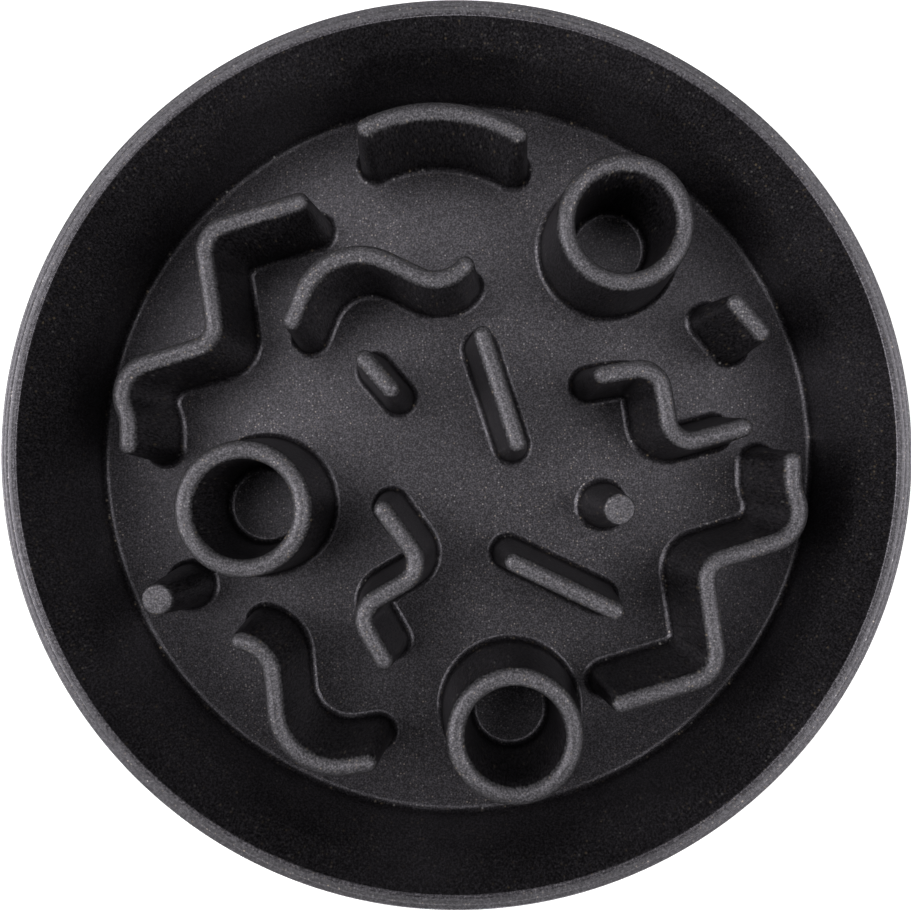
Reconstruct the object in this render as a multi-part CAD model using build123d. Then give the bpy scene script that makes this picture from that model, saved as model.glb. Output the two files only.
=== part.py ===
from build123d import *
import os
from math import atan2, cos, degrees, hypot, radians, sin, sqrt, tan

# Slow feeder bowl: a round straight-sided bowl whose floor carries a maze of ridges, cups and pegs.
# Millimetres, +Z up. The origin is the middle of the bowl on the surface that it stands on.
# +Y is the back of the bowl and +X its right.

# Bowl
bowl_height = 60.0
rim_radius = 105.35
wall_thickness = 3.6
wall_draft = 4.85
rim_round = 0.5
floor_thickness = 4.0
floor_fillet = 2.0
base_round = 5.0
foot_ring_height = 3.0
foot_ring_round = 1.0

# Rubber feet
pad_count = 6
pad_radius = 6.0
pad_proud = 1.0
pad_pocket_depth = 1.5
pad_edge = 0.5
pad_clearance = 0.1
pad_margin = 2.0

# Section shared by the ridges and cups of the maze
maze_height = 38.0
crown_radius = 2.3
ridge_draft = 3.2
root_fillet = 2.0
root_sink = 0.3
tight_corner = 0.6
wide_corner = 1.8

# Cups and pegs
cup_lip_radius = 14.6
cup_draft = 2.6
peg_top_radius = 4.0
peg_draft = 3.6
peg_edge_round = 0.8

# Plan of the maze, drawn to a scale that puts its outermost place maze_inset in from the edge of the floor:
# lengths along each centreline, and the angles in degrees by which it bends
maze_inset = 14.0
zigzag_legs = (25.0, 27.0, 24.0, 18.5)
zigzag_bend_angle = 81.0
small_zigzag_legs = (14.0, 20.0, 18.0)
small_zigzag_bend_angles = (-90.0, 96.0)
wave_first_runs = {"wave_back": 7.0, "wave_front": 5.0}
wave_second_run = 8.5
wave_radii = (15.1, 9.5)
wave_bend_angles = (-94.0, 76.0)
arc_ridge_radius = 39.0
arc_ridge_bend_angle = -57.0
long_bar_length = 27.5
short_bar_length = 9.5

# Places on that plan: the axis of a cup or peg, and the first end of a ridge
places = {
    "cup_back": (41.1, 57.0),
    "cup_left": (-52.2, -12.9),
    "cup_front": (14.2, -68.3),
    "peg_left": (-72.8, -34.8),
    "peg_right": (39.5, -12.9),
    "zigzag_left": (-38.4, 62.0),
    "zigzag_right": (40.1, -60.4),
    "small_zigzag_right": (35.5, 19.9),
    "small_zigzag_left": (-17.8, -49.8),
    "wave_back": (-40.2, 33.0),
    "wave_front": (-21.8, -74.9),
    "arc_ridge": (-22.3, 80.0),
    "long_bar_middle": (6.2, 29.5),
    "long_bar_front": (13.8, -25.9),
    "short_bar_left": (-22.5, 23.6),
    "short_bar_right": (68.0, 37.4),
}

# Angle from +X at which each ridge leaves its first end, in degrees
heading_angles = {
    "zigzag_left": -163.0,
    "zigzag_right": 17.0,
    "small_zigzag_right": 9.0,
    "small_zigzag_left": 120.0,
    "wave_back": 68.5,
    "wave_front": -171.0,
    "arc_ridge": 26.0,
    "long_bar_middle": -72.0,
    "long_bar_front": -25.5,
    "short_bar_left": -49.0,
    "short_bar_right": -50.0,
}

# Heights above the standing surface
base_level = pad_proud
recess_level = base_level + foot_ring_height
floor_level = recess_level + floor_thickness

# Radii of the bowl
wall_slope = tan(radians(wall_draft))
rim_inner_radius = rim_radius - wall_thickness
floor_radius = rim_inner_radius - (bowl_height - floor_level) * wall_slope
base_radius = rim_radius - (bowl_height - base_level) * wall_slope
ring_outer_radius = base_radius - base_round
pad_circle_radius = ring_outer_radius - pad_margin - pad_radius
ring_inner_radius = pad_circle_radius - pad_radius - pad_margin

# Scale of the maze's plan
plan_reach = max(hypot(x, y) for x, y in places.values())
plan_scale = (floor_radius - maze_inset) / plan_reach


def turned(outline, corners):
    """A closed outline of radius and height, with the given corners rounded, turned about the bowl's axis."""
    face = make_face(Polyline(*outline, close=True))
    for corner, radius in corners:
        face = fillet(face.vertices().sort_by_distance(corner)[0], radius)
    return revolve(Plane.XZ * face, Axis.Z)


def side_points(crown, draft):
    """Points up one side of a ridge section: floor, mid fillet, side foot, side head, mid crown and top.

    The side leans in by the draft and is tangent to the crown's circle. The root fillet is tangent to
    the side and to a line root_sink below the floor, so it meets the floor at a clear angle.
    """
    lean = radians(draft)
    crown_centre = Vector(0, maze_height - crown)
    fillet_height = root_fillet - root_sink
    side_offset = crown / cos(lean) + (crown_centre.Y - fillet_height) * tan(lean)
    fillet_centre = Vector(side_offset + root_fillet / cos(lean), fillet_height)
    outward = Vector(cos(lean), sin(lean))
    floor_point = fillet_centre - Vector(sqrt(root_fillet**2 - fillet_height**2), fillet_height)
    side_foot = fillet_centre - outward * root_fillet
    to_middle = ((floor_point + side_foot) / 2 - fillet_centre).normalized()
    mid_fillet = fillet_centre + to_middle * root_fillet
    side_head = crown_centre + outward * crown
    mid_crown = crown_centre + (outward + Vector(0, 1)).normalized() * crown
    return floor_point, mid_fillet, side_foot, side_head, mid_crown, Vector(0, maze_height)


def half_section(crown, draft):
    """One half of a ridge section as a face: X across the ridge, Y up from the floor."""
    floor_point, mid_fillet, side_foot, side_head, mid_crown, top = side_points(crown, draft)
    outline = [
        Line((0, 0), floor_point),
        ThreePointArc(floor_point, mid_fillet, side_foot),
        Line(side_foot, side_head),
        ThreePointArc(side_head, mid_crown, top),
        Line(top, (0, 0)),
    ]
    return make_face(outline)


def whole_section(crown, draft):
    """The half section and its mirror image as one face."""
    half = half_section(crown, draft)
    return half + mirror(half, Plane.YZ)


ridge_foot_half = side_points(crown_radius, ridge_draft)[0].X


def ridge(path):
    """The ridge section carried along a path that leaves the origin along +X, with a round cap at each end."""
    section = Plane.YZ * whole_section(crown_radius, ridge_draft)
    start_cap = revolve(Plane.YZ * half_section(crown_radius, ridge_draft), Axis.Z, 180)
    end_heading = degrees(atan2((path % 1).Y, (path % 1).X))
    end_cap = Location(path @ 1, (0, 0, end_heading + 180)) * start_cap
    return sweep(section, path=path) + start_cap + end_cap


def cornered_path(legs, bends, corners):
    """Straight legs that bend where they meet, each corner rounded to clear the foot of the ridge's inner side."""
    heading = 0
    points = [Vector(0, 0)]
    for leg, bend in zip(legs, (*bends, 0)):
        points.append(points[-1] + Vector(leg * plan_scale, 0).rotate(Axis.Z, heading))
        heading += bend
    return FilletPolyline(*points, radius=[ridge_foot_half + corner for corner in corners])


def wave_path(first_run):
    """Two straight runs, each followed by an arc, tangent all the way."""
    edges = []
    start = Vector(0, 0)
    heading = Vector(1, 0)
    for run, radius, bend in zip((first_run, wave_second_run), wave_radii, wave_bend_angles):
        edges.append(Line(start, start + heading * run * plan_scale))
        edges.append(JernArc(edges[-1] @ 1, heading, radius * plan_scale, bend))
        start = edges[-1] @ 1
        heading = edges[-1] % 1
    return Wire(edges)


def straight_path(length):
    """One straight run."""
    return Line((0, 0), (length * plan_scale, 0))


def on_floor(shape, name):
    """Stand a piece of the maze on the bowl's floor, at its place on the plan and turned to its heading."""
    x, y = places[name]
    return Location((x * plan_scale, y * plan_scale, floor_level), (0, 0, heading_angles.get(name, 0))) * shape


def bowl_shell():
    """Floor, drafted wall, rim and foot ring in one turned shape, with a pocket under it for each rubber foot."""
    outline = [
        (0, floor_level),
        (floor_radius, floor_level),
        (rim_inner_radius, bowl_height),
        (rim_radius, bowl_height),
        (base_radius, base_level),
        (ring_inner_radius, base_level),
        (ring_inner_radius, recess_level),
        (0, recess_level),
    ]
    corners = [
        (outline[1], floor_fillet),
        (outline[2], rim_round),
        (outline[3], rim_round),
        (outline[4], base_round),
        (outline[5], foot_ring_round),
        (outline[6], foot_ring_round),
    ]
    pocket = extrude(Circle(pad_radius + pad_clearance), pad_pocket_depth)
    pockets = [place * Pos(0, 0, base_level) * pocket for place in pad_places()]
    return turned(outline, corners) - pockets


def pad_places():
    """Even places round the middle of the foot ring."""
    return PolarLocations(pad_circle_radius, pad_count)


def rubber_foot():
    """A round pad with a bevelled lower edge, seated on its pocket's roof."""
    pad = extrude(Circle(pad_radius), base_level + pad_pocket_depth)
    return chamfer(pad.edges().group_by(Axis.Z)[0], pad_edge)


def cup():
    """A tall open ring: the ridge section turned about the cup's axis."""
    section = Pos(cup_lip_radius, 0) * whole_section(crown_radius, cup_draft)
    return revolve(Plane.XZ * section, Axis.Z)


def peg():
    """A tapered post with a flat top, a rounded top edge and a root fillet."""
    floor_point, mid_fillet, side_foot, side_head, _, top = side_points(peg_top_radius, peg_draft)
    lean = tan(radians(peg_draft))
    shoulder = Vector(side_head.X - (maze_height - side_head.Y) * lean, maze_height)
    outline = [
        Line((0, 0), floor_point),
        ThreePointArc(floor_point, mid_fillet, side_foot),
        Line(side_foot, shoulder),
        Line(shoulder, top),
        Line(top, (0, 0)),
    ]
    face = make_face(outline)
    face = fillet(face.vertices().sort_by_distance(shoulder)[0], peg_edge_round)
    return revolve(Plane.XZ * face, Axis.Z)


zigzag_bend_angles = (zigzag_bend_angle, -zigzag_bend_angle, zigzag_bend_angle)
zigzag_path = cornered_path(zigzag_legs, zigzag_bend_angles, (wide_corner, tight_corner, wide_corner))
small_zigzag_path = cornered_path(small_zigzag_legs, small_zigzag_bend_angles, (tight_corner, tight_corner))
arc_ridge_path = JernArc((0, 0), (1, 0), arc_ridge_radius * plan_scale, arc_ridge_bend_angle)

maze = [
    (cup(), ("cup_back", "cup_left", "cup_front")),
    (peg(), ("peg_left", "peg_right")),
    (ridge(zigzag_path), ("zigzag_left", "zigzag_right")),
    (ridge(small_zigzag_path), ("small_zigzag_left", "small_zigzag_right")),
    (ridge(arc_ridge_path), ("arc_ridge",)),
    (ridge(straight_path(long_bar_length)), ("long_bar_middle", "long_bar_front")),
    (ridge(straight_path(short_bar_length)), ("short_bar_left", "short_bar_right")),
]
for name, first_run in wave_first_runs.items():
    maze.append((ridge(wave_path(first_run)), (name,)))

nodes = {"bowl_shell": bowl_shell()}
for shape, names in maze:
    for name in names:
        nodes[name] = on_floor(shape, name)
for number, place in enumerate(pad_places(), start=1):
    nodes[f"foot_pad_{number}"] = place * rubber_foot()

os.makedirs("parts", exist_ok=True)
for name, shape in nodes.items():
    export_step(shape, f"parts/{name}.step")
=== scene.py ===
from math import ceil, cos, hypot, pi, radians, sin, tan

import bmesh
import bpy
import numpy as np
from bpy.props import FloatProperty, FloatVectorProperty, PointerProperty
from bpy.types import Operator, Panel, PropertyGroup
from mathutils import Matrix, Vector


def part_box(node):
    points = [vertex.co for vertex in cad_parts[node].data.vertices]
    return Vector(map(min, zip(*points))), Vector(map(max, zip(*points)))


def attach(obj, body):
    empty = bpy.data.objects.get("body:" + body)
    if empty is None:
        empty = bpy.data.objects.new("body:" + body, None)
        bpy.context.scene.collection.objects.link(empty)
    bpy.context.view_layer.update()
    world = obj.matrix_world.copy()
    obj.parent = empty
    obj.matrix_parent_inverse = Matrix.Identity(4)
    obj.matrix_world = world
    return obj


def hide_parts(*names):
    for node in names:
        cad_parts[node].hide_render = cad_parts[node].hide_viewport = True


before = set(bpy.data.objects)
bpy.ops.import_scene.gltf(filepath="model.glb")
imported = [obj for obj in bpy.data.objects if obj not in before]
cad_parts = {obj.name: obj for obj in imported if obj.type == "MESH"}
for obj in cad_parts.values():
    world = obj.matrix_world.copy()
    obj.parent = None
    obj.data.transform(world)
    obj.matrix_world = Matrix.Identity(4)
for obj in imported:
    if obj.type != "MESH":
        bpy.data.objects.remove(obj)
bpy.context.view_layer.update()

bl_info = {
    "name": "Slow Feeder Bowl",
    "version": (1, 0, 0),
    "blender": (4, 5, 0),
    "location": "3D View > Sidebar > Bowl",
    "description": "Builds a charcoal slow feeder bowl, the maze on its floor and its rubber feet",
    "category": "Object",
}

# Sizes are in metres. The bowl stands on z = 0 with its axis on the origin, +Y behind it and +X to its right.

# Read from the frame
SHELL_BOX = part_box("bowl_shell")
MAZE_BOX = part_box("cup_back")
PAD_NODES = sorted(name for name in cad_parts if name.startswith("foot_pad_"))
PAD_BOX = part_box(PAD_NODES[0])
PAD_RADIUS = (PAD_BOX[1].x - PAD_BOX[0].x) / 2
FLOOR_LEVEL = MAZE_BOX[0].z
MAZE_HEIGHT = MAZE_BOX[1].z - FLOOR_LEVEL

# Centrelines of the ridges on the maze's plan: the lengths of their runs, and their bends in degrees.
# The large zigzags stand where the plain one does, and their last leg bends in a slight S.
ZIGZAG_LEGS = (0.025, 0.027, 0.024, 0.0185)
ZIGZAG_BENDS = (81.0, -81.0, 81.0)
CURVED_ZIGZAG_LEGS = (0.025, 0.027, 0.02675, 0.0118, 0.0063)
CURVED_ZIGZAG_BENDS = (81.0, -81.0, 93.0, -20.0)
CURVED_ZIGZAG_RADII = (0.0082, 0.010)
SMALL_ZIGZAG_LEGS = (0.014, 0.020, 0.018)
SMALL_ZIGZAG_BENDS = (-90.0, 96.0)
WAVE_FIRST_RUNS = {"wave_back": 0.007, "wave_front": 0.005}
WAVE_SECOND_RUN = 0.0085
WAVE_RADII = (0.0151, 0.0095)
WAVE_BENDS = (-94.0, 76.0)
ARC_RIDGE_RADIUS = 0.039
ARC_RIDGE_BEND = -57.0
LONG_BAR_LENGTH = 0.0275
SHORT_BAR_LENGTH = 0.0095

# The outermost place on the plan, which sets the plan's scale
OUTERMOST_PLACE = (-0.0223, 0.0800)

# Angle from +X at which each ridge leaves its first end, in degrees
HEADINGS = {
    "zigzag_left": -163.0,
    "zigzag_right": 17.0,
    "small_zigzag_right": 9.0,
    "small_zigzag_left": 120.0,
    "wave_back": 68.5,
    "wave_front": -171.0,
    "arc_ridge": 26.0,
    "long_bar_middle": -72.0,
    "long_bar_front": -25.5,
    "short_bar_left": -49.0,
    "short_bar_right": -50.0,
}

# Marks of the finishing tool on the rim: places and widths as shares of the rim's width from its outside
OUTER_LINE = 0.22
MIDDLE_LINE = 0.44
INNER_LINE = 0.7
LINE_WIDTH = 0.045
STEP_WIDTH = 0.05
OUTER_LINE_SHARE = 0.35

# Slow waves of each mark round the bowl: size, waves to a turn, and phase
OUTER_WAVES = ((0.02, 2, 2.0),)
MIDDLE_WAVES = ((0.03, 2, 0.6), (0.012, 5, 2.1), (0.006, 11, 0.0))
INNER_WAVES = ((0.01, 3, 1.0),)

# Depths under the top of the rim at which the marks end and at which they are whole
MARKS_END = 0.002
MARKS_WHOLE = 0.0005

# Edges of the rubber feet
FOOT_BEVEL = 0.0005
FOOT_BEVEL_ROUND = 0.0003
FOOT_TOP_ROUND = 0.0001

# Fineness of the meshes
PATH_STEP = 0.00045
TURN_STEPS = 384
CUP_STEPS = 160
PEG_STEPS = 72
PAD_STEPS = 96
CAP_STEPS = 24
ROUND_STEPS = 10
CROWN_STEPS = 14
RIM_STEPS = 44
SECTOR_EDGE_STEPS = 16
SECTOR_ROWS = 9
POCKET_ROOF_ROWS = 5
LONGEST_STEP = 0.005
LONGEST_FOOT_STEP = 0.002
SHARP_ANGLE = radians(38)
MERGE_DISTANCE = 2e-7

# Patterns of the composite and the rubber, in features to the metre
GRAIN_SCALE = 2100
WAVINESS_SCALE = 700
MOTTLE_SCALE = 45
FLECK_SCALE = 1150
RUBBER_GRAIN_SCALE = 3500
RUBBER_DUST_SCALE = 250

# Ranges of noise that are taken as its whole range
NOISE_RANGE = (0.3, 0.7)
GRAIN_RANGE = (0.28, 0.72)
DUST_RANGE = (0.45, 0.75)

# Upright part of a face's normal, from a steep side to a level face
SIDE_TO_LEVEL = (0.2, 0.7)

# Grain: its darkest shade, the span and curve above that, the least shade on a side, roughness and relief
DARKEST_GRAIN = 0.48
GRAIN_SPAN = 1.5
GRAIN_CURVE = 1.8
LEAST_SHADE = 0.3
GRAIN_ROUGHNESS = (0.35, 0.45)
WAVINESS_SHARE = 0.6
LEVEL_RELIEF = 0.00005

# Mottle: its shares of the body's colour and of the gloss
MOTTLE_SHADES = (0.8, 1.2)
MOTTLE_GLOSS = (0.92, 1.08)
GLOSS_TINT = (1.0, 0.95, 1.05, 1)

# Flecks: spread of their sizes, raggedness and edge, how the mottle crowds them, and their chance and straw
FLECK_SPREAD = 0.25
FLECK_RAGGEDNESS = 0.5
FLECK_EDGE = (0.4, 0.76)
FLECK_CROWDING = 1.6
FLECK_CHANCE = (1.4, 1.8)
FLECK_CURVE = 1.3
STRAW_RANGE = (0.3, 0.6)
FLECK_GLOSS = 2.2
SIDE_FLECKS = 0.28

# Wear and painted light: shares of its depth at which the rubbing and the painted paleness are whole and at
# which the flecks are rubbed off
WHOLE_WEAR_AND_LIGHT = 0.45
WHOLE_FLECK_WEAR = 0.5
# Depth of the maze's rubbed, painted-paler tops, as a share of the crown's radius
CROWN_WEAR_AND_LIGHT = 1.15

# Where it is rubbed and painted paler: roughness added, shares of gloss, grain and flecks, depth of the
# flecks' wear.
# Along the rim's middle line: chance of flecks and half width. For exports: an even gloss.
# On upright sides: share of gloss, stretch of the grain, relief, and contrast added to the grain.
SHELL_WEAR_AND_LIGHT = {
    "dulling": 0.02,
    "polish": 1.25,
    "grain": 0.5,
    "fleck": 0.25,
    "fleck_depth": 0.0012,
    "line_fleck": 1.3,
    "line_width": 0.0003,
    "even_gloss": 1.0,
    "side_gloss": 1.0,
    "side_grain": 0.4,
    "side_relief": 0.00007,
    "side_contrast": 0.2,
}
MAZE_WEAR_AND_LIGHT = {
    "dulling": 0.14,
    "polish": 1.0,
    "grain": 1.0,
    "fleck": 0.6,
    "fleck_depth": 0.0026,
    "even_gloss": 0.6,
    "side_gloss": 0.28,
    "side_grain": 0.2,
    "side_relief": 0.00015,
    "side_contrast": 0.4,
}

# Rubber: how much paler dust makes it, its roughness and its relief
DUST_SHARE = 1.8
RUBBER_ROUGHNESS = (0.7, 0.85)
RUBBER_RELIEF = 0.00004

# Sockets of a Mix node that blends colours
MIX_FACTOR = 0
MIX_FIRST = 6
MIX_SECOND = 7
MIX_RESULT = 2

# Soft boxes on a sphere round the bowl: azimuth from +X and elevation in degrees, size, share of key power
BOX_DISTANCE = 1.0
BOX_TARGET = (0.0, 0.0, 0.04)
SOFT_BOXES = {
    "left_box": (180, 45, 0.7, 1.0),
    "right_box": (0, 45, 0.7, 0.93),
    "front_right_box": (315, 45, 0.7, 0.3),
    "high_left_box": (180, 66, 0.4, 0.12),
    "high_back_left_box": (135, 66, 0.4, 0.2),
    "high_back_box": (90, 66, 0.4, 0.08),
    "high_back_right_box": (45, 66, 0.4, 0.075),
    "high_right_box": (0, 66, 0.4, 0.11),
    "mid_left_box": (180, 28, 0.5, 0.76),
    "mid_front_left_box": (225, 28, 0.5, 0.22),
    "mid_front_box": (270, 28, 0.5, 0.14),
    "low_front_box": (270, 12, 0.5, 0.75),
    "low_back_box": (90, 12, 0.5, 0.36),
}
FLOOR_ROUGHNESS = 0.9

# The photograph's frame in pixels, and the camera that took it
IMAGE_WIDTH = 911
IMAGE_HEIGHT = 910
FOCAL_PIXELS = 1164.6
NADIR_PIXEL = (465.0, 472.0)
CAMERA_PLACE = (0.00197, -0.00389, 0.329)
CAMERA_NEAR = 0.01
SENSOR_WIDTH_MM = 36.0


class ShellSizes(PropertyGroup):
    """Sizes of the bowl's shell that the frame's boxes don't give."""

    wall_thickness: FloatProperty(
        name="Wall thickness", description="Width of the rim", default=0.0036, unit="LENGTH")
    wall_draft: FloatProperty(
        name="Wall draft", description="Lean of the wall", default=radians(4.85), subtype="ANGLE")
    rim_round: FloatProperty(
        name="Rim round", description="Radius of both edges of the rim", default=0.0005, unit="LENGTH")
    floor_fillet: FloatProperty(
        name="Floor fillet", description="Radius where the wall meets the floor",
        default=0.002, unit="LENGTH")
    floor_thickness: FloatProperty(
        name="Floor thickness", description="Floor inside the foot ring", default=0.004, unit="LENGTH")
    base_round: FloatProperty(
        name="Base round", description="Radius round the bottom of the wall", default=0.005, unit="LENGTH")
    foot_ring_round: FloatProperty(
        name="Foot ring round", description="Radius of the foot ring's inner edges",
        default=0.001, unit="LENGTH")
    pad_margin: FloatProperty(
        name="Foot margin", description="Foot ring on each side of a rubber foot",
        default=0.002, unit="LENGTH")
    pad_clearance: FloatProperty(
        name="Foot clearance", description="Gap round a rubber foot in its pocket",
        default=0.0001, unit="LENGTH")
    groove_depth: FloatProperty(
        name="Rim line depth", description="Depth of the tool line round the middle of the rim",
        default=0.00006, unit="LENGTH")
    land_step: FloatProperty(
        name="Rim step", description="Height of each step down towards the inside of the rim",
        default=0.00006, unit="LENGTH")
    # Depth of the rim's flat that is rubbed duller and painted paler, a painted highlight of the light it
    # catches
    rim_wear_and_light: FloatProperty(
        name="Rim wear", description="How deep the rim is rubbed paler", default=0.00016, unit="LENGTH")


class MazeSizes(PropertyGroup):
    """Sizes of the section that the ridges and cups share, and of the pegs."""

    crown_radius: FloatProperty(
        name="Crown radius", description="Round top of a ridge or cup", default=0.0023, unit="LENGTH")
    ridge_draft: FloatProperty(
        name="Ridge draft", description="Lean of a ridge's sides", default=radians(3.2), subtype="ANGLE")
    root_fillet: FloatProperty(
        name="Root fillet", description="Radius where a side meets the floor", default=0.002, unit="LENGTH")
    root_sink: FloatProperty(
        name="Root sink", description="How far the fillet's end dips under the floor",
        default=0.00003, unit="LENGTH")
    corner_foot: FloatProperty(
        name="Corner foot", description="Half width of a ridge's foot in its corners",
        default=0.005154, unit="LENGTH")
    tight_corner: FloatProperty(
        name="Tight corner", description="Inner radius of a tight corner's foot",
        default=0.0006, unit="LENGTH")
    wide_corner: FloatProperty(
        name="Wide corner", description="Inner radius of a wide corner's foot",
        default=0.0018, unit="LENGTH")
    plan_inset: FloatProperty(
        name="Plan inset", description="From the floor's edge to the plan's outermost place",
        default=0.014, unit="LENGTH")
    cup_lip_radius: FloatProperty(
        name="Cup lip radius", description="Radius of the crown of a cup", default=0.0146, unit="LENGTH")
    cup_draft: FloatProperty(
        name="Cup draft", description="Lean of a cup's sides", default=radians(2.6), subtype="ANGLE")
    peg_top_radius: FloatProperty(
        name="Peg radius", description="Radius near the top of a peg", default=0.004, unit="LENGTH")
    peg_draft: FloatProperty(
        name="Peg draft", description="Lean of a peg's side", default=radians(3.6), subtype="ANGLE")
    peg_edge_round: FloatProperty(
        name="Peg edge", description="Round edge on top of a peg", default=0.0008, unit="LENGTH")


class FinishColours(PropertyGroup):
    """Colours of the finishes."""

    body: FloatVectorProperty(
        name="Charcoal", description="Body of the moulding",
        default=(0.0115, 0.0104, 0.0119), subtype="COLOR")
    # Painted highlight: the rim's rubbed flat is painted paler for the light it catches
    rubbed_lit_rim: FloatVectorProperty(
        name="Rubbed rim", description="Flat of the rim",
        default=(0.022, 0.0216, 0.0224), subtype="COLOR")
    # Painted highlight: the rubbed crowns of the maze are painted paler for the light they catch
    rubbed_lit_crown: FloatVectorProperty(
        name="Rubbed crowns", description="Tops of the maze",
        default=(0.0322, 0.0311, 0.0331), subtype="COLOR")
    pale_fleck: FloatVectorProperty(
        name="Pale fleck", description="Pale fibres in the body",
        default=(0.3, 0.29, 0.275), subtype="COLOR")
    tan_fleck: FloatVectorProperty(
        name="Tan fleck", description="Straw-coloured fibres in the body",
        default=(0.32, 0.25, 0.155), subtype="COLOR")
    rubber: FloatVectorProperty(
        name="Rubber", description="Rubber feet", default=(0.02, 0.02, 0.021), subtype="COLOR")


class StudioSettings(PropertyGroup):
    """The stage and its light."""

    floor_colour: FloatVectorProperty(
        name="Floor", description="Colour of the studio floor", default=(0.9, 0.9, 0.9), subtype="COLOR")
    floor_glow: FloatProperty(
        name="Floor glow", description="White that the floor adds to what the camera sees", default=0.45)
    floor_size: FloatProperty(
        name="Floor size", description="Half width of the studio floor", default=4.0, unit="LENGTH")
    sky: FloatProperty(
        name="Sky", description="Strength of the even light from all round", default=0.002)
    key_power: FloatProperty(
        name="Key power", description="Soft box over the left of the bowl", default=4.85, unit="POWER")


class BowlSettings(PropertyGroup):
    """All settings of the bowl and its stage."""

    shell: PointerProperty(type=ShellSizes)
    maze: PointerProperty(type=MazeSizes)
    colours: PointerProperty(type=FinishColours)
    studio: PointerProperty(type=StudioSettings)


# Outlines and paths

def rounded(points, radii):
    """Round the corners of an open outline: each becomes an arc tangent to both of its sides.

    The arc's centre lies on the corner's bisector at radius / sin(half angle). Its points turn from one
    tangent point to the other at an even rate.
    """
    points = np.asarray(points, float)
    pieces = [points[:1]]
    share = np.linspace(0, 1, ROUND_STEPS + 1)[:, None]
    for before, corner, after, radius in zip(points, points[1:], points[2:], radii):
        back = (before - corner) / np.linalg.norm(before - corner)
        on = (after - corner) / np.linalg.norm(after - corner)
        half = np.arccos(np.clip(back @ on, -1, 1)) / 2
        bisector = (back + on) / np.linalg.norm(back + on)
        centre = corner + bisector * radius / np.sin(half)
        start = corner + back * radius / np.tan(half) - centre
        end = corner + on * radius / np.tan(half) - centre
        turn = pi - 2 * half
        swing = np.sin((1 - share) * turn) * start + np.sin(share * turn) * end
        pieces.append(centre + swing / np.sin(turn))
    pieces.append(points[-1:])
    return np.concatenate(pieces)


def arc(centre, radius, start, end, steps=ROUND_STEPS):
    """Points on a circle between two angles in radians: centre + radius (cos t, sin t)."""
    turn = np.linspace(start, end, steps + 1)
    return np.asarray(centre) + radius * np.stack([np.cos(turn), np.sin(turn)], axis=1)


def refined(points, step):
    """Split the long sides of an outline evenly into steps no longer than the given one."""
    pieces = [points[:1]]
    for start, end in zip(points, points[1:]):
        count = max(1, ceil(np.linalg.norm(end - start) / step))
        pieces.append(start + (end - start) * np.linspace(0, 1, count + 1)[1:, None])
    return np.concatenate(pieces)


def centreline(runs, heading):
    """Points, headings and curvatures along a path of runs, each a length and a curvature.

    Within a step ds the path turns by curvature * ds, so its chord is ds * sin(half turn) / (half turn) long
    and points along the heading plus the half turn. Sums of the chords are the points.
    """
    counts = [max(1, ceil(length / PATH_STEP)) for length, _ in runs]
    step = np.repeat([length / count for (length, _), count in zip(runs, counts)], counts)
    bend = np.repeat([curvature for _, curvature in runs], counts)
    turn = step * bend
    headings = radians(heading) + np.concatenate([[0], np.cumsum(turn)])
    along = headings[:-1] + turn / 2
    chords = (step * np.sinc(turn / (2 * pi)))[:, None] * np.stack([np.cos(along), np.sin(along)], axis=1)
    points = np.concatenate([np.zeros((1, 2)), np.cumsum(chords, axis=0)])
    sharpest = np.stack([np.append(bend, bend[-1]), np.insert(bend, 0, bend[0])])
    curvature = np.take_along_axis(sharpest, np.abs(sharpest).argmax(axis=0)[None], axis=0)[0]
    return points, headings, curvature


def cornered_runs(legs, bends, corners):
    """Runs of straight legs with rounded corners. Each takes radius * tan(half bend) off its legs."""
    angles = [radians(bend) for bend in bends]
    cuts = [0, *(radius * tan(abs(angle) / 2) for radius, angle in zip(corners, angles)), 0]
    runs = []
    for number, leg in enumerate(legs):
        runs.append((leg - cuts[number] - cuts[number + 1], 0))
        if number < len(corners):
            angle, radius = angles[number], corners[number]
            runs.append((radius * abs(angle), np.sign(angle) / radius))
    return runs


def waved_runs(straights, radii, bends):
    """Runs of straight stretches, each followed by an arc."""
    runs = []
    for straight, radius, bend in zip(straights, radii, bends):
        runs.append((straight, 0))
        runs.append((radius * radians(abs(bend)), np.sign(bend) / radius))
    return runs


# Meshes

def grid_faces(rows, columns):
    """Quads of a grid of points, numbered row by row, whose columns close on themselves."""
    row, column = np.meshgrid(np.arange(rows - 1), np.arange(columns), indexing="ij")
    corner = row * columns + column
    beside = row * columns + (column + 1) % columns
    return np.stack([corner, beside, beside + columns, corner + columns], axis=-1).reshape(-1, 4)


def turned(profile, steps, centre=(0, 0)):
    """A profile of radius and height turned about an upright axis: (r cos a, r sin a, z)."""
    angle = np.arange(steps) * 2 * pi / steps
    radius, height = np.asarray(profile, float).T
    x = centre[0] + radius[:, None] * np.cos(angle)
    y = centre[1] + radius[:, None] * np.sin(angle)
    return np.stack([x, y, np.broadcast_to(height[:, None], x.shape)], axis=-1)


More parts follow.
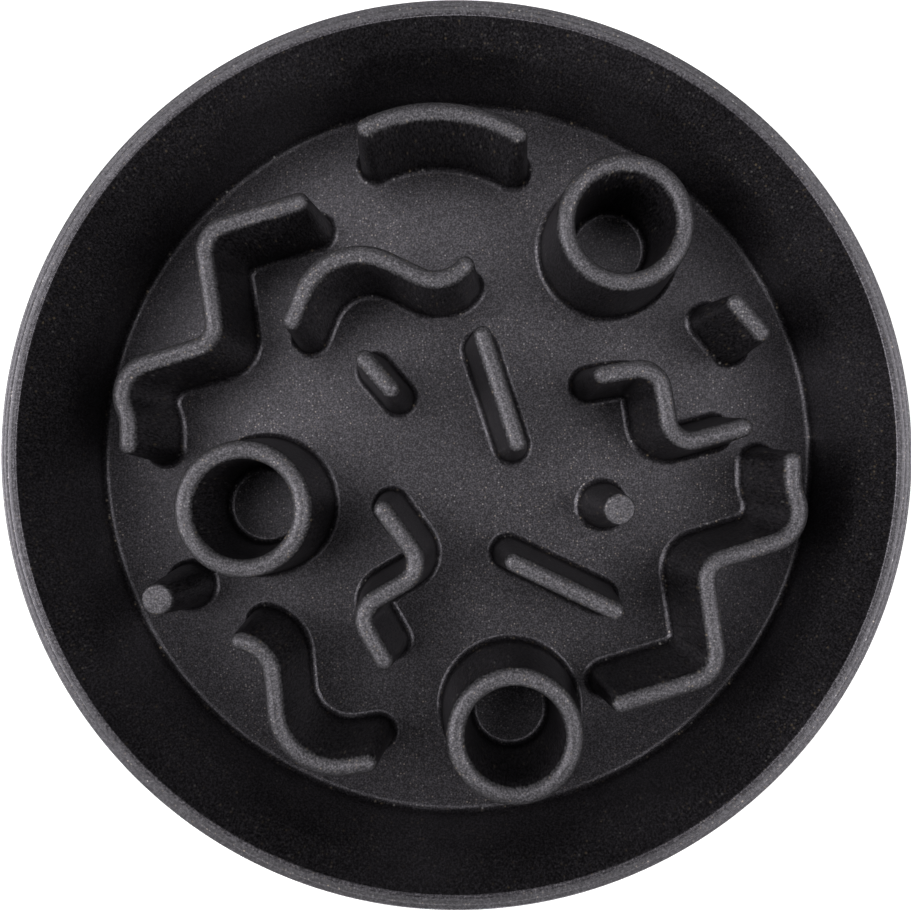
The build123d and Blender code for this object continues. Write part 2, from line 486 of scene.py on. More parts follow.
def make_piece(name, grids, material, nodes):
    """A closed smooth mesh of one or more grids of points, in place of the frame's nodes of that piece."""
    points, faces, count = [], [], 0
    for grid in grids:
        rows, columns, _ = grid.shape
        points.append(grid.reshape(-1, 3))
        faces.append(grid_faces(rows, columns) + count)
        count += rows * columns
    mesh = bpy.data.meshes.new(name)
    mesh.from_pydata(np.concatenate(points).tolist(), [], np.concatenate(faces).tolist())
    shape = bmesh.new()
    shape.from_mesh(mesh)
    bmesh.ops.remove_doubles(shape, verts=shape.verts, dist=MERGE_DISTANCE)
    bmesh.ops.dissolve_degenerate(shape, edges=shape.edges, dist=MERGE_DISTANCE)
    bmesh.ops.recalc_face_normals(shape, faces=shape.faces)
    shape.to_mesh(mesh)
    shape.free()
    mesh.shade_smooth()
    mesh.set_sharp_from_angle(angle=SHARP_ANGLE)
    mesh.materials.append(material)
    piece = bpy.data.objects.new(name, mesh)
    bpy.context.scene.collection.objects.link(piece)
    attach(piece, "root")
    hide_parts(*nodes)


def node_centre(node):
    """Middle of a frame node's box, seen from above."""
    low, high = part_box(node)
    return np.array([(low.x + high.x) / 2, (low.y + high.y) / 2])


# Sections of the maze

def side_line(crown, draft):
    """Half width of a section at a height above the floor: a straight side tangent to the crown's circle."""
    return lambda height: crown / cos(draft) + (MAZE_HEIGHT - crown - height) * tan(draft)


def root_arc(maze, half_width, draft):
    """The root fillet: an arc tangent to the side and to a line root_sink below the floor."""
    centre_height = maze.root_fillet - maze.root_sink
    centre = (half_width(centre_height) + maze.root_fillet / cos(draft), centre_height)
    return arc(centre, maze.root_fillet, -pi / 2, -pi + draft)


def ridge_section(maze, draft):
    """Half of a section from the middle of its foot to its top, as half width and height above the floor.

    Out along the sunk foot, up the root fillet and the drafted side, and over the crown's quarter circle.
    """
    half_width = side_line(maze.crown_radius, draft)
    root = root_arc(maze, half_width, draft)
    crown_centre = (0, MAZE_HEIGHT - maze.crown_radius)
    crown = arc(crown_centre, maze.crown_radius, draft, pi / 2, steps=CROWN_STEPS)
    crown[-1, 0] = 0
    side = np.concatenate([root, crown])
    return np.concatenate([[[0, -maze.root_sink]], refined(side, LONGEST_STEP)])


def ridge_grid(section, line, start):
    """A section carried along a path and round both of its ends.

    The path's points c and the sideways directions n run up the left side, round the end, back down the right
    side and round the start. The surface is c + w n at each half width w and height z of the section. On the
    inside of a bend w stops at the bend's centre.
    """
    points, headings, curvature = line
    cap = np.linspace(pi / 2, -pi / 2, CAP_STEPS + 1)[1:-1]
    end_cap = np.repeat(points[-1:], len(cap), axis=0)
    start_cap = np.repeat(points[:1], len(cap), axis=0)
    path = np.concatenate([points, end_cap, points[::-1], start_cap])
    left = headings + pi / 2
    right = headings[::-1] - pi / 2
    sideways = np.concatenate([left, headings[-1] + cap, right, headings[0] + cap - pi])
    unbent = np.zeros(len(cap))
    inward = np.concatenate([curvature, unbent, -curvature[::-1], unbent])
    limit = np.full(len(inward), np.inf)
    np.divide(1, inward, out=limit, where=inward > 0)
    width = np.minimum(section[:, 0, None], limit)
    plan = path + start + width[..., None] * np.stack([np.cos(sideways), np.sin(sideways)], axis=-1)
    height = np.broadcast_to(FLOOR_LEVEL + section[:, 1, None], width.shape)
    return np.concatenate([plan, height[..., None]], axis=-1)


def cup_grid(maze, centre):
    """A ridge section turned about the cup's axis at the radius of its lip."""
    half = ridge_section(maze, maze.cup_draft)[1:]
    wall = np.concatenate([half, (half * (-1, 1))[-2::-1], half[:1]])
    wall += (maze.cup_lip_radius, FLOOR_LEVEL)
    return turned(wall, CUP_STEPS, centre)


def peg_grid(maze, centre):
    """A drafted post with a root fillet, a rounded top edge and a flat top, turned about its axis."""
    half_width = side_line(maze.peg_top_radius, maze.peg_draft)
    root = root_arc(maze, half_width, maze.peg_draft)
    shoulder = (half_width(MAZE_HEIGHT), MAZE_HEIGHT)
    head = rounded([root[-1], shoulder, (0, MAZE_HEIGHT)], [maze.peg_edge_round])
    side = refined(np.concatenate([root, head[1:]]), LONGEST_STEP)
    post = np.concatenate([[[0, -maze.root_sink]], side])
    return turned(post + (0, FLOOR_LEVEL), PEG_STEPS, centre)


# Finishes

def new_material(name):
    """An empty node material with its shader, its output and the piece's own coordinates."""
    material = bpy.data.materials.new(name)
    material.use_nodes = True
    tree = material.node_tree
    tree.nodes.clear()
    output = tree.nodes.new("ShaderNodeOutputMaterial")
    shader = tree.nodes.new("ShaderNodeBsdfPrincipled")
    tree.links.new(shader.outputs["BSDF"], output.inputs["Surface"])
    coordinates = tree.nodes.new("ShaderNodeTexCoord").outputs["Object"]
    return material, tree, shader, coordinates


def noise(tree, coordinates, scale, detail, roughness=0.5):
    """Noise of a given number of features to the metre."""
    node = tree.nodes.new("ShaderNodeTexNoise")
    node.inputs["Scale"].default_value = scale
    node.inputs["Detail"].default_value = detail
    node.inputs["Roughness"].default_value = roughness
    tree.links.new(coordinates, node.inputs["Vector"])
    return node.outputs["Fac"]


def remap(tree, value, low, high, new_low, new_high, smooth=False):
    """A value taken from one range to another and held to it."""
    node = tree.nodes.new("ShaderNodeMapRange")
    node.interpolation_type = "SMOOTHSTEP" if smooth else "LINEAR"
    for name, number in zip(("From Min", "From Max", "To Min", "To Max"), (low, high, new_low, new_high)):
        node.inputs[name].default_value = number
    tree.links.new(value, node.inputs["Value"])
    return node.outputs["Result"]


def combine(tree, operation, first, second):
    """Two values, or a value and a number, added, multiplied or otherwise combined."""
    node = tree.nodes.new("ShaderNodeMath")
    node.operation = operation
    for socket, value in zip(node.inputs, (first, second)):
        if isinstance(value, (int, float)):
            socket.default_value = value
        else:
            tree.links.new(value, socket)
    return node.outputs["Value"]


def height_of(tree, vector):
    """The upright part of a vector."""
    node = tree.nodes.new("ShaderNodeSeparateXYZ")
    tree.links.new(vector, node.inputs["Vector"])
    return node.outputs["Z"]


def radius_of(tree, vector):
    """The distance of a point from the bowl's axis."""
    level = tree.nodes.new("ShaderNodeVectorMath")
    level.operation = "MULTIPLY"
    level.inputs[1].default_value = (1, 1, 0)
    tree.links.new(vector, level.inputs[0])
    length = tree.nodes.new("ShaderNodeVectorMath")
    length.operation = "LENGTH"
    tree.links.new(level.outputs["Vector"], length.inputs[0])
    return length.outputs["Value"]


def mix_colour(tree, factor, first, second, blend="MIX"):
    """Two colours blended by a factor."""
    node = tree.nodes.new("ShaderNodeMix")
    node.data_type = "RGBA"
    node.blend_type = blend
    for socket, value in zip((MIX_FACTOR, MIX_FIRST, MIX_SECOND), (factor, first, second)):
        if isinstance(value, bpy.types.NodeSocket):
            tree.links.new(value, node.inputs[socket])
        else:
            node.inputs[socket].default_value = value if isinstance(value, (int, float)) else (*value, 1)
    return node.outputs[MIX_RESULT]


def set_relief(tree, shader, height, distance):
    """A bump of the given height, whose distance is a number or a value over the surface."""
    bump = tree.nodes.new("ShaderNodeBump")
    bump.inputs["Strength"].default_value = 1.0
    if isinstance(distance, float):
        bump.inputs["Distance"].default_value = distance
    else:
        tree.links.new(distance, bump.inputs["Distance"])
    tree.links.new(height, bump.inputs["Height"])
    tree.links.new(bump.outputs["Normal"], shader.inputs["Normal"])


def composite_surface(tree, coordinates, top, wear_and_light):
    """Values over the surface that the composite's patterns share.

    How high and how level it is, how rubbed and painted paler towards its top, and its grain and mottle. On
    upright sides the grain is drawn out.
    """
    stretch = tree.nodes.new("ShaderNodeMapping")
    stretch.inputs["Scale"].default_value = (1, 1, wear_and_light["side_grain"])
    tree.links.new(coordinates, stretch.inputs["Vector"])
    drawn = stretch.outputs["Vector"]
    height = height_of(tree, coordinates)
    facing = tree.nodes.new("ShaderNodeNewGeometry").outputs["Normal"]
    whole_wear_and_light = top - WHOLE_WEAR_AND_LIGHT * wear_and_light["depth"]
    return {
        "coordinates": coordinates,
        "drawn": drawn,
        "height": height,
        "level": combine(tree, "ABSOLUTE", height_of(tree, facing), 0),
        # Rubbed towards the top and painted paler there, a painted highlight of the light the tops catch
        "worn_and_lit": remap(tree, height, top - wear_and_light["depth"], whole_wear_and_light, 0, 1, smooth=True),
        "grain": noise(tree, drawn, GRAIN_SCALE, detail=2, roughness=0.6),
        "mottle": noise(tree, coordinates, MOTTLE_SCALE, detail=4, roughness=0.55),
    }


def grain_shade(tree, surface, wear_and_light):
    """Light and dark of the grain about 1: calmer where it is rubbed, stronger on upright sides."""
    shade = combine(tree, "POWER", remap(tree, surface["grain"], *GRAIN_RANGE, 0, 1), GRAIN_CURVE)
    shade = combine(tree, "ADD", combine(tree, "MULTIPLY", shade, GRAIN_SPAN), DARKEST_GRAIN)
    calm = combine(tree, "MULTIPLY", surface["worn_and_lit"], 1 - wear_and_light["grain"])
    strong = remap(tree, surface["level"], *SIDE_TO_LEVEL, wear_and_light["side_contrast"], 0)
    calm = combine(tree, "SUBTRACT", calm, strong)
    change = combine(tree, "MULTIPLY", calm, combine(tree, "SUBTRACT", 1.0, shade))
    return combine(tree, "MAXIMUM", combine(tree, "ADD", shade, change), LEAST_SHADE)


def rim_line(tree, surface, wear_and_light):
    """Chance of a fleck in a narrow band along the rim's middle line, on its rubbed, painted-paler flat."""
    off = combine(tree, "SUBTRACT", radius_of(tree, surface["coordinates"]), wear_and_light["line_radius"])
    off = combine(tree, "ABSOLUTE", off, 0)
    on_line = remap(tree, off, 0, wear_and_light["line_width"], wear_and_light["line_fleck"], 0, smooth=True)
    return combine(tree, "MULTIPLY", on_line, surface["worn_and_lit"])


def fibre_flecks(tree, surface, top, wear_and_light):
    """How much of a fibre shows, and how much of its colour is straw.

    Each cell of a Voronoi pattern may hold one fibre, with an edge that the grain makes ragged. The mottle
    crowds them into clusters. Upright sides and rubbed tops show fewer.
    """
    cells = tree.nodes.new("ShaderNodeTexVoronoi")
    cells.inputs["Scale"].default_value = FLECK_SCALE
    tree.links.new(surface["drawn"], cells.inputs["Vector"])
    chance = tree.nodes.new("ShaderNodeSeparateColor")
    tree.links.new(cells.outputs["Color"], chance.inputs["Color"])
    spread = combine(tree, "MULTIPLY", chance.outputs["Blue"], FLECK_SPREAD)
    ragged = combine(tree, "MULTIPLY", surface["grain"], FLECK_RAGGEDNESS)
    distance = combine(tree, "ADD", combine(tree, "ADD", cells.outputs["Distance"], spread), ragged)
    near = remap(tree, distance, *FLECK_EDGE, 1, 0, smooth=True)

    crowd = combine(tree, "MULTIPLY", surface["mottle"], FLECK_CROWDING)
    chosen = remap(tree, combine(tree, "ADD", chance.outputs["Red"], crowd), *FLECK_CHANCE, 0, 1)
    chosen = combine(tree, "POWER", chosen, FLECK_CURVE)
    on_side = remap(tree, surface["level"], *SIDE_TO_LEVEL, SIDE_FLECKS, 1)
    chosen = combine(tree, "MULTIPLY", chosen, on_side)
    low = top - wear_and_light["fleck_depth"]
    high = top - WHOLE_FLECK_WEAR * wear_and_light["fleck_depth"]
    kept = remap(tree, surface["height"], low, high, 1, wear_and_light["fleck"], smooth=True)
    chosen = combine(tree, "MULTIPLY", chosen, kept)
    if "line_radius" in wear_and_light:
        on_line = combine(tree, "MULTIPLY", rim_line(tree, surface, wear_and_light), chance.outputs["Red"])
        chosen = combine(tree, "MAXIMUM", chosen, on_line)
    straw = remap(tree, chance.outputs["Green"], *STRAW_RANGE, 0, 1)
    return combine(tree, "MULTIPLY", near, chosen), straw


def composite_finish(colours, name, top, wear_and_light):
    """Charcoal moulding filled with plant fibre: fine grain, pale and straw-coloured flecks in clusters.

    Towards its top the piece is rubbed duller and painted paler, a painted highlight of the light its tops
    catch. Its upright sides keep a share of the gloss.
    """
    material, tree, shader, coordinates = new_material(name)
    surface = composite_surface(tree, coordinates, top, wear_and_light)
    shade = grain_shade(tree, surface, wear_and_light)
    fleck, straw = fibre_flecks(tree, surface, top, wear_and_light)

    dark, light = ([part * share for part in colours.body] for share in MOTTLE_SHADES)
    body = mix_colour(tree, remap(tree, surface["mottle"], *NOISE_RANGE, 0, 1), dark, light)
    # Painted highlight: towards the top the body is painted paler for the light the tops catch
    body = mix_colour(tree, surface["worn_and_lit"], body, wear_and_light["colour"])
    body = mix_colour(tree, 1.0, body, shade, "MULTIPLY")
    fibre = mix_colour(tree, straw, colours.pale_fleck, colours.tan_fleck)
    tree.links.new(mix_colour(tree, fleck, body, fibre), shader.inputs["Base Color"])

    gloss = combine(tree, "ADD", shade, combine(tree, "MULTIPLY", fleck, FLECK_GLOSS))
    for share in (
        remap(tree, surface["mottle"], *NOISE_RANGE, *MOTTLE_GLOSS),
        remap(tree, surface["worn_and_lit"], 0, 1, 1, wear_and_light["polish"]),
        remap(tree, surface["level"], *SIDE_TO_LEVEL, wear_and_light["side_gloss"], 1),
    ):
        gloss = combine(tree, "MULTIPLY", gloss, share)
    # The even level stands in where an export drops the linked one
    shader.inputs["Specular IOR Level"].default_value = wear_and_light["even_gloss"]
    tree.links.new(gloss, shader.inputs["Specular IOR Level"])
    shader.inputs["Specular Tint"].default_value = GLOSS_TINT

    roughness = remap(tree, surface["grain"], *NOISE_RANGE, *GRAIN_ROUGHNESS)
    dulled = combine(tree, "MULTIPLY", surface["worn_and_lit"], wear_and_light["dulling"])
    tree.links.new(combine(tree, "ADD", roughness, dulled), shader.inputs["Roughness"])

    waviness = noise(tree, surface["drawn"], WAVINESS_SCALE, detail=2)
    waviness = combine(tree, "MULTIPLY", waviness, WAVINESS_SHARE)
    depth = remap(tree, surface["level"], *SIDE_TO_LEVEL, wear_and_light["side_relief"], LEVEL_RELIEF)
    set_relief(tree, shader, combine(tree, "ADD", surface["grain"], waviness), depth)
    return material


def rubber_finish(colours, name):
    """Soft black rubber with a fine dusty grain."""
    material, tree, shader, coordinates = new_material(name)
    grain = noise(tree, coordinates, RUBBER_GRAIN_SCALE, detail=3)
    dust = noise(tree, coordinates, RUBBER_DUST_SCALE, detail=4, roughness=0.6)
    dusty = [part * DUST_SHARE for part in colours.rubber]
    colour = mix_colour(tree, remap(tree, dust, *DUST_RANGE, 0, 1), colours.rubber, dusty)
    tree.links.new(colour, shader.inputs["Base Color"])
    tree.links.new(remap(tree, dust, *NOISE_RANGE, *RUBBER_ROUGHNESS), shader.inputs["Roughness"])
    set_relief(tree, shader, grain, RUBBER_RELIEF)
    return material


def finish_named(name, make, *sizes):
    """A finish that is made once and shared by every piece that takes it."""
    found = bpy.data.materials.get(name)
    return found if found else make(bpy.context.scene.slow_feeder_bowl.colours, name, *sizes)


def shell_composite():
    """The moulding's finish on the shell, rubbed duller and painted paler on the flat of its rim."""
    settings = bpy.context.scene.slow_feeder_bowl
    wear_and_light = {
        **SHELL_WEAR_AND_LIGHT,
        "depth": settings.shell.rim_wear_and_light,
        "colour": settings.colours.rubbed_lit_rim,
        "line_radius": SHELL_BOX[1].x - MIDDLE_LINE * settings.shell.wall_thickness,
    }
    return finish_named("charcoal_shell", composite_finish, SHELL_BOX[1].z, wear_and_light)


def maze_composite():
    """The moulding's finish on the maze, rubbed duller and painted paler on its crowns."""
    settings = bpy.context.scene.slow_feeder_bowl
    wear_and_light = {
        **MAZE_WEAR_AND_LIGHT,
        "depth": settings.maze.crown_radius * CROWN_WEAR_AND_LIGHT,
        "colour": settings.colours.rubbed_lit_crown,
    }
    return finish_named("charcoal_maze", composite_finish, MAZE_BOX[1].z, wear_and_light)


def rubber():
    """The rubber feet's finish."""
    return finish_named("foot_rubber", rubber_finish)


# Pieces

def shell_levels(shell):
    """Heights and radii of the shell, worked out from the frame's boxes and the shell's sizes."""
    slope = tan(shell.wall_draft)
    top, base = SHELL_BOX[1].z, SHELL_BOX[0].z
    rim = SHELL_BOX[1].x + shell.rim_round * (slope + 1 / cos(shell.wall_draft) - 1)
    rim_inner = rim - shell.wall_thickness
    base_radius = rim - (top - base) * slope
    pad_circle = base_radius - shell.base_round - shell.pad_margin - PAD_RADIUS
    return {
        "top": top,
        "base": base,
        "recess": FLOOR_LEVEL - shell.floor_thickness,
        "rim": rim,
        "rim_inner": rim_inner,
        "floor_radius": rim_inner - (top - FLOOR_LEVEL) * slope,
        "base_radius": base_radius,
        "pad_circle": pad_circle,
        "ring_inner": pad_circle - PAD_RADIUS - shell.pad_margin,
    }


def wandering(place, waves, angle):
    """A mark's place across the rim: its mean place plus waves of size sin(count angle + phase)."""
    return place + sum(size * np.sin(count * angle + phase) for size, count, phase in waves)


def rim_relief(shell, levels, radius, angle):
    """Depth of the marks that the finishing tool left round the rim.

    Two grooves wander round the bowl, the outer one shallower: depth exp(-(distance / width)^2).
    Inside the middle line the rim is a step lower, and again inside the inner line:
    step (1 + tanh(distance / width)) / 2. From there to the edge it falls by one more step at an even rate.
    """
    across = (levels["rim"] - radius) / shell.wall_thickness
    inner_line = wandering(INNER_LINE, INNER_WAVES, angle)
    outer = across - wandering(OUTER_LINE, OUTER_WAVES, angle)
    middle = across - wandering(MIDDLE_LINE, MIDDLE_WAVES, angle)
    inner = across - inner_line
    grooves = np.exp(-((middle / LINE_WIDTH) ** 2)) + OUTER_LINE_SHARE * np.exp(-((outer / LINE_WIDTH) ** 2))
    steps = (2 + np.tanh(middle / STEP_WIDTH) + np.tanh(inner / STEP_WIDTH)) / 2
    fall = np.clip(inner / (1 - inner_line), 0, 1)
    return shell.groove_depth * grooves + shell.land_step * (steps + fall)


def shell_grids(shell, levels):
    """The shell's turned surfaces: from the foot ring over the wall and rim to the floor, and the recess.

    The radii at which they meet the foot ring's flat face come with them.
    """
    outside = rounded(
        [
            (levels["pad_circle"], levels["base"]),
            (levels["base_radius"], levels["base"]),
            (levels["rim"], levels["top"]),
            (levels["rim_inner"], levels["top"]),
            (levels["floor_radius"], FLOOR_LEVEL),
            (0, FLOOR_LEVEL),
        ],
        [shell.base_round, shell.rim_round, shell.rim_round, shell.floor_fillet],
    )
    outside = outside[1:]
    rim_start = 2 * (ROUND_STEPS + 1)
    rim_flat = np.linspace(outside[rim_start - 1], outside[rim_start], RIM_STEPS + 1)[1:-1]
    outside = np.concatenate([outside[:rim_start], rim_flat, outside[rim_start:]])
    wall_and_floor = turned(refined(outside, LONGEST_STEP), TURN_STEPS)
    x, y, z = np.moveaxis(wall_and_floor, -1, 0)
    near_top = np.clip((z - levels["top"] + MARKS_END) / (MARKS_END - MARKS_WHOLE), 0, 1)
    wall_and_floor[..., 2] -= near_top * rim_relief(shell, levels, np.hypot(x, y), np.arctan2(y, x))

    recess = rounded(
        [
            (0, levels["recess"]),
            (levels["ring_inner"], levels["recess"]),
            (levels["ring_inner"], levels["base"]),
            (levels["base_radius"], levels["base"]),
        ],
        [shell.foot_ring_round, shell.foot_ring_round],
    )
    recess = turned(refined(recess[:-1], LONGEST_STEP), TURN_STEPS)
    return wall_and_floor, recess, outside[0, 0], recess[-1, 0, 0]


def foot_ring_grid(shell, levels, angle, outer, inner):
    """One sector of the foot ring's flat face, with the pocket for a rubber foot.

    The rows go from the sector's border to the pocket's edge, evenly in radius and angle, then up the
    pocket's side and in to the middle of its roof.
    """
    arc_steps = TURN_STEPS // len(PAD_NODES)
    half = pi / len(PAD_NODES)
    sweep = np.linspace(-half, half, arc_steps + 1)
    climb = np.linspace(inner, outer, SECTOR_EDGE_STEPS + 1)
    border_radius = np.concatenate(
        [np.full(arc_steps, inner), climb[:-1], np.full(arc_steps, outer), climb[:0:-1]])
    edge = np.full(SECTOR_EDGE_STEPS, half)
    border_angle = np.concatenate([sweep[:-1], edge, sweep[:0:-1], -edge])

    pocket = PAD_RADIUS + shell.pad_clearance
    toward = np.arctan2(border_angle * levels["pad_circle"], border_radius - levels["pad_circle"])
    hole_x = levels["pad_circle"] + pocket * np.cos(toward)
    hole_y = pocket * np.sin(toward)
    share = np.linspace(0, 1, SECTOR_ROWS)[:, None]
    flat_radius = border_radius + (np.hypot(hole_x, hole_y) - border_radius) * share
    flat_angle = border_angle + (np.arctan2(hole_y, hole_x) - border_angle) * share
    flat = np.stack([flat_radius * np.cos(flat_angle), flat_radius * np.sin(flat_angle)], axis=-1)

    shrink = np.linspace(1, 0, POCKET_ROOF_ROWS)[:, None, None]
    middle = np.array([levels["pad_circle"], 0])
    roof = middle + (np.stack([hole_x, hole_y], axis=-1) - middle) * shrink
    plan = np.concatenate([flat, roof])
    height = np.concatenate([np.full(len(flat), levels["base"]), np.full(len(roof), PAD_BOX[1].z)])
    x = plan[..., 0] * np.cos(angle) - plan[..., 1] * np.sin(angle)
    y = plan[..., 0] * np.sin(angle) + plan[..., 1] * np.cos(angle)
    return np.stack([x, y, np.broadcast_to(height[:, None], x.shape)], axis=-1)


class BOWL_OT_shell(Operator):
    """Turn the bowl's shell, with its floor, wall, rim, foot ring and pockets"""

    bl_idname = "bowl.shell"
    bl_label = "Shell"

    def execute(self, context):
        shell = context.scene.slow_feeder_bowl.shell
        levels = shell_levels(shell)
        wall_and_floor, recess, outer, inner = shell_grids(shell, levels)
        angles = np.arange(len(PAD_NODES)) * 2 * pi / len(PAD_NODES)
        sectors = [foot_ring_grid(shell, levels, angle, outer, inner) for angle in angles]
        grids = [wall_and_floor, recess, *sectors]
        make_piece("moulded_shell", grids, shell_composite(), ["bowl_shell"])
        return {"FINISHED"}


class BOWL_OT_cups(Operator):
    """Turn the three open cups"""

    bl_idname = "bowl.cups"
    bl_label = "Cups"

    def execute(self, context):
        maze = context.scene.slow_feeder_bowl.maze
        for node in ("cup_back", "cup_left", "cup_front"):
            grid = cup_grid(maze, node_centre(node))
            make_piece(f"moulded_{node}", [grid], maze_composite(), [node])
        return {"FINISHED"}


class BOWL_OT_pegs(Operator):
    """Turn the two pegs"""

    bl_idname = "bowl.pegs"
    bl_label = "Pegs"

    def execute(self, context):
        maze = context.scene.slow_feeder_bowl.maze
        for node in ("peg_left", "peg_right"):
            grid = peg_grid(maze, node_centre(node))
            make_piece(f"moulded_{node}", [grid], maze_composite(), [node])
        return {"FINISHED"}


def plan_scale(settings):
    """Scale that puts the plan's outermost place plan_inset in from the edge of the floor."""
    floor_radius = shell_levels(settings.shell)["floor_radius"]
    return (floor_radius - settings.maze.plan_inset) / hypot(*OUTERMOST_PLACE)


def make_ridge(settings, node, runs, curved_runs=None):
    """One ridge along a path of runs, where the frame's node stands.

    Where curved runs are given, the ridge follows them from the same first end.
    """
    section = ridge_section(settings.maze, settings.maze.ridge_draft)
    points = centreline(runs, HEADINGS[node])[0]
    start = node_centre(node) - (points.min(0) + points.max(0)) / 2
    grid = ridge_grid(section, centreline(curved_runs or runs, HEADINGS[node]), start)
    make_piece(f"moulded_{node}", [grid], maze_composite(), [node])


class BOWL_OT_zigzags(Operator):
    """Carry the ridge section along the two large and the two small zigzags"""

    bl_idname = "bowl.zigzags"
    bl_label = "Zigzags"

    def execute(self, context):
        settings = context.scene.slow_feeder_bowl
        scale = plan_scale(settings)
        tight = settings.maze.corner_foot + settings.maze.tight_corner
        wide = settings.maze.corner_foot + settings.maze.wide_corner
        large = cornered_runs(np.multiply(ZIGZAG_LEGS, scale), ZIGZAG_BENDS, (wide, tight, wide))
        curved_legs = np.multiply(CURVED_ZIGZAG_LEGS, scale)
        curved = cornered_runs(curved_legs, CURVED_ZIGZAG_BENDS, (wide, tight, *CURVED_ZIGZAG_RADII))
        small = cornered_runs(np.multiply(SMALL_ZIGZAG_LEGS, scale), SMALL_ZIGZAG_BENDS, (tight, tight))
        for node in ("zigzag_left", "zigzag_right"):
            make_ridge(settings, node, large, curved)
        for node in ("small_zigzag_left", "small_zigzag_right"):
            make_ridge(settings, node, small)
        return {"FINISHED"}


class BOWL_OT_curves(Operator):
    """Carry the ridge section along the two waves and the arc"""

    bl_idname = "bowl.curves"
    bl_label = "Waves and arc"

    def execute(self, context):
        settings = context.scene.slow_feeder_bowl
        scale = plan_scale(settings)
        for node, first_run in WAVE_FIRST_RUNS.items():
            straights = np.multiply((first_run, WAVE_SECOND_RUN), scale)
            make_ridge(settings, node, waved_runs(straights, np.multiply(WAVE_RADII, scale), WAVE_BENDS))
        radius = ARC_RIDGE_RADIUS * scale
        make_ridge(settings, "arc_ridge", waved_runs([0], [radius], [ARC_RIDGE_BEND])[1:])
        return {"FINISHED"}


class BOWL_OT_bars(Operator):
    """Carry the ridge section along the two long and the two short bars"""

    bl_idname = "bowl.bars"
    bl_label = "Bars"

    def execute(self, context):
        settings = context.scene.slow_feeder_bowl
        scale = plan_scale(settings)
        lengths = {
            "long_bar_middle": LONG_BAR_LENGTH,
            "long_bar_front": LONG_BAR_LENGTH,
            "short_bar_left": SHORT_BAR_LENGTH,
            "short_bar_right": SHORT_BAR_LENGTH,
        }
        for node, length in lengths.items():
            make_ridge(settings, node, [(length * scale, 0)])
        return {"FINISHED"}


class BOWL_OT_feet(Operator):
    """Turn the rubber feet, with a bevelled lower edge"""

    bl_idname = "bowl.feet"
    bl_label = "Rubber feet"

    def execute(self, context):
        top = PAD_BOX[1].z
        outline = rounded(
            [(0, 0), (PAD_RADIUS - FOOT_BEVEL, 0), (PAD_RADIUS, FOOT_BEVEL), (PAD_RADIUS, top), (0, top)],
            [FOOT_BEVEL_ROUND, FOOT_BEVEL_ROUND, FOOT_TOP_ROUND],
        )
        outline = refined(outline, LONGEST_FOOT_STEP)
        for number, node in enumerate(PAD_NODES, start=1):
            grid = turned(outline, PAD_STEPS, node_centre(node))
            make_piece(f"rubber_foot_{number}", [grid], rubber(), [node])
        return {"FINISHED"}


# Stage

def floor_finish(studio):
    """Pale floor that shows white to the camera and in reflections, and keeps the object's shadow."""
    material = bpy.data.materials.new("studio_floor")
    material.use_nodes = True
    tree = material.node_tree
    shader = tree.nodes["Principled BSDF"]
    shader.inputs["Base Color"].default_value = (*studio.floor_colour, 1)
    shader.inputs["Roughness"].default_value = FLOOR_ROUGHNESS
    rays = tree.nodes.new("ShaderNodeLightPath").outputs
    mirrored = combine(tree, "MAXIMUM", rays["Is Glossy Ray"], rays["Is Transmission Ray"])
    seen = combine(tree, "MAXIMUM", rays["Is Camera Ray"], mirrored)
    shader.inputs["Emission Color"].default_value = (1, 1, 1, 1)
    tree.links.new(combine(tree, "MULTIPLY", seen, studio.floor_glow), shader.inputs["Emission Strength"])
    return material


def lay_floor(studio):
    """A level square floor under the bowl."""
    half = studio.floor_size
    corners = [(-half, -half, 0), (half, -half, 0), (half, half, 0), (-half, half, 0)]
    mesh = bpy.data.meshes.new("studio_floor")
    mesh.from_pydata(corners, [], [(0, 1, 2, 3)])
    mesh.materials.append(floor_finish(studio))
    floor = bpy.data.objects.new("studio_floor", mesh)
    bpy.context.scene.collection.objects.link(floor)


def light_sky(studio):
    """Even light from all round, white to the camera."""
    world = bpy.data.worlds.new("studio_sky")
    world.use_nodes = True
    bpy.context.scene.world = world
    tree = world.node_tree
    background = tree.nodes["Background"]
    background.inputs["Color"].default_value = (1, 1, 1, 1)
    rays = tree.nodes.new("ShaderNodeLightPath")
    strength = remap(tree, rays.outputs["Is Camera Ray"], 0, 1, studio.sky, 1)
    tree.links.new(strength, background.inputs["Strength"])


def soft_box(name, azimuth, elevation, size, power):
    """A round area light at an azimuth and elevation, which faces the middle of the bowl."""
    light = bpy.data.lights.new(name, "AREA")
    light.shape = "DISK"
    light.size = size
    light.energy = power
    lamp = bpy.data.objects.new(name, light)
    tilt, turn = radians(90 - elevation), radians(azimuth)
    away = Vector((sin(tilt) * cos(turn), sin(tilt) * sin(turn), cos(tilt)))
    lamp.location = Vector(BOX_TARGET) + away * BOX_DISTANCE
    lamp.rotation_euler = (0, tilt, turn)
    bpy.context.scene.collection.objects.link(lamp)


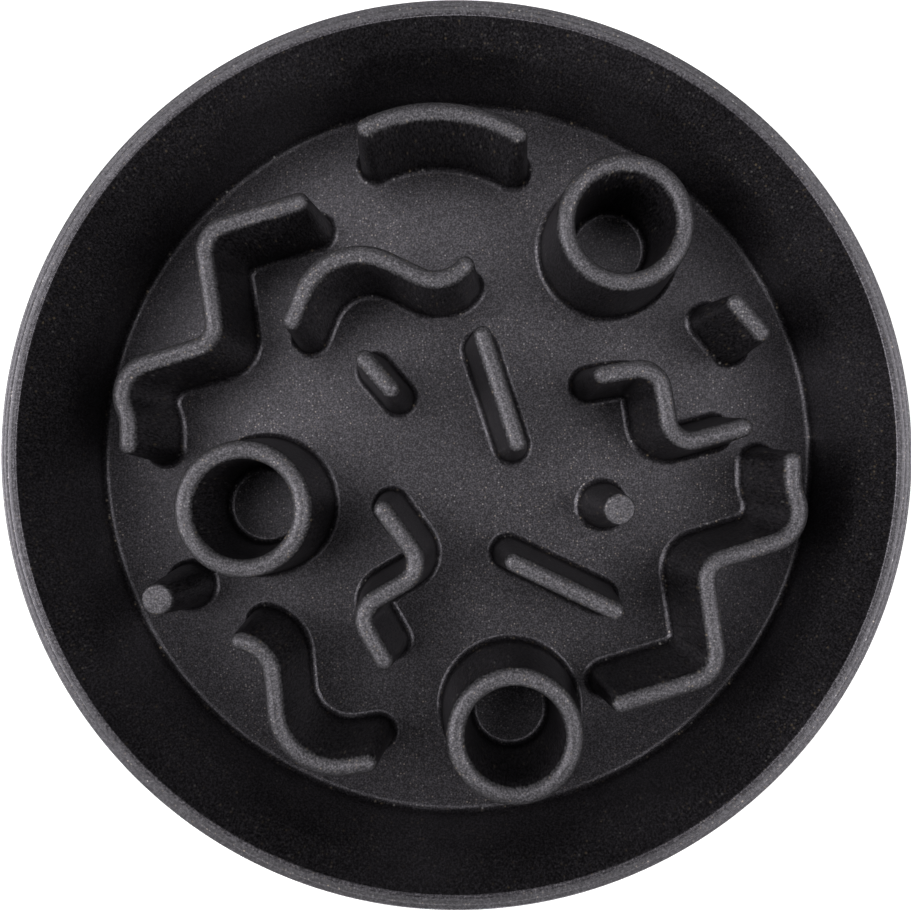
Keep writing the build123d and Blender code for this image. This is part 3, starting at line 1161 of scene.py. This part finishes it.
def place_camera():
    """The camera looks straight down. Its shift puts the point under it at the photograph's own pixel."""
    data = bpy.data.cameras.new("camera")
    data.sensor_width = SENSOR_WIDTH_MM
    data.lens = FOCAL_PIXELS / IMAGE_WIDTH * SENSOR_WIDTH_MM
    data.shift_x = (IMAGE_WIDTH / 2 - NADIR_PIXEL[0]) / IMAGE_WIDTH
    data.shift_y = (NADIR_PIXEL[1] - IMAGE_HEIGHT / 2) / IMAGE_WIDTH
    data.clip_start = CAMERA_NEAR
    camera = bpy.data.objects.new("camera", data)
    camera.location = CAMERA_PLACE
    bpy.context.scene.collection.objects.link(camera)
    bpy.context.scene.camera = camera


class BOWL_OT_stage(Operator):
    """Lay the pale floor, hang the soft light and set the camera"""

    bl_idname = "bowl.stage"
    bl_label = "Stage"

    def execute(self, context):
        studio = context.scene.slow_feeder_bowl.studio
        lay_floor(studio)
        light_sky(studio)
        for name, (azimuth, elevation, size, share) in SOFT_BOXES.items():
            soft_box(name, azimuth, elevation, size, studio.key_power * share)
        place_camera()
        context.scene.view_settings.view_transform = "Standard"
        return {"FINISHED"}


class BOWL_PT_panel(Panel):
    """The bowl's sizes, colours and steps"""

    bl_idname = "BOWL_PT_panel"
    bl_label = "Slow Feeder Bowl"
    bl_space_type = "VIEW_3D"
    bl_region_type = "UI"
    bl_category = "Bowl"

    def draw(self, context):
        settings = context.scene.slow_feeder_bowl
        for group in (settings.shell, settings.maze, settings.colours, settings.studio):
            box = self.layout.box()
            for name in group.__annotations__:
                box.prop(group, name)
        for operator in OPERATORS:
            self.layout.operator(operator.bl_idname)


OPERATORS = (
    BOWL_OT_shell,
    BOWL_OT_cups,
    BOWL_OT_pegs,
    BOWL_OT_zigzags,
    BOWL_OT_curves,
    BOWL_OT_bars,
    BOWL_OT_feet,
    BOWL_OT_stage,
)
CLASSES = (ShellSizes, MazeSizes, FinishColours, StudioSettings, BowlSettings, *OPERATORS, BOWL_PT_panel)


def register():
    for entry in CLASSES:
        bpy.utils.register_class(entry)
    bpy.types.Scene.slow_feeder_bowl = PointerProperty(type=BowlSettings)


def unregister():
    del bpy.types.Scene.slow_feeder_bowl
    for entry in reversed(CLASSES):
        bpy.utils.unregister_class(entry)


def main():
    """Build every piece and the stage."""
    register()
    bpy.ops.bowl.shell()
    bpy.ops.bowl.cups()
    bpy.ops.bowl.pegs()
    bpy.ops.bowl.zigzags()
    bpy.ops.bowl.curves()
    bpy.ops.bowl.bars()
    bpy.ops.bowl.feet()
    bpy.ops.bowl.stage()


if __name__ == "__main__":
    main()
